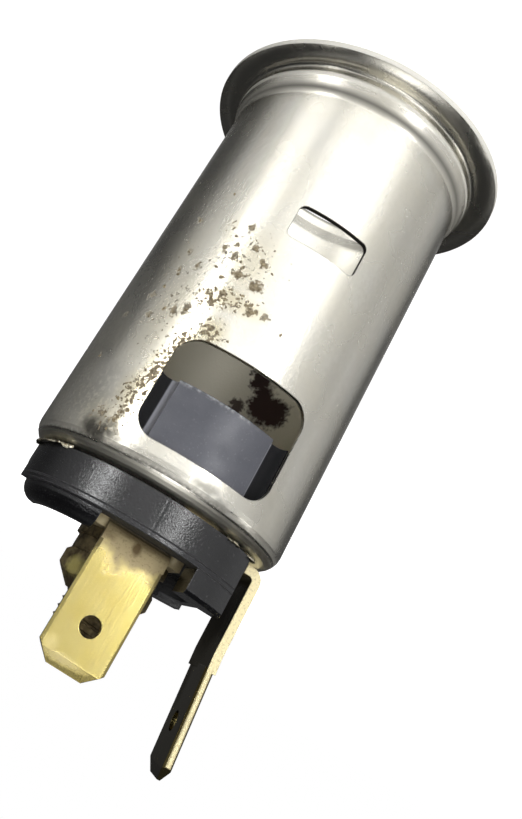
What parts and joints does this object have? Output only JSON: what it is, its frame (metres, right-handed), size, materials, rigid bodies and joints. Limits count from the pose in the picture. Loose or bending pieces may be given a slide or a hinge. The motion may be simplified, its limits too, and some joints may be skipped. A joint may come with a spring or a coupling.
{
  "type": "car 12 v power socket",
  "caption": "Pressed steel socket can with a flared mouth, insulated centre contact and brass blade terminals at the back.",
  "frame": {"origin": "centre of the mouth's rim, on the plane of the flange's open face", "axes": "+Z from the mouth towards the blades along the can's axis, -Y through the middle of the two windows, -X towards the ground blade"},
  "size_m": [0.0284, 0.0284, 0.0563],
  "materials": {
    "nickel_plated_steel": "satin nickel plate, pitted and rusty beside the large window",
    "slate_phenolic": "moulded, dark slate grey, slightly scuffed",
    "black_phenolic": "moulded, black, scuffed with glints",
    "brass": "stamped yellow brass, tarnished brown at the roots",
    "tarnished_brass": "brown tarnish with a dull yellow glow"
  },
  "bodies": {
    "root": {"shell": "nickel_plated_steel", "inner_insulator": "slate_phenolic", "centre_contact": "brass", "ground_terminal": "brass", "rear_insulator": "black_phenolic", "positive_terminal": "brass", "plain_washer": "tarnished_brass", "spring_washer": "tarnished_brass", "nut": "tarnished_brass"}
  },
  "joints": []
}
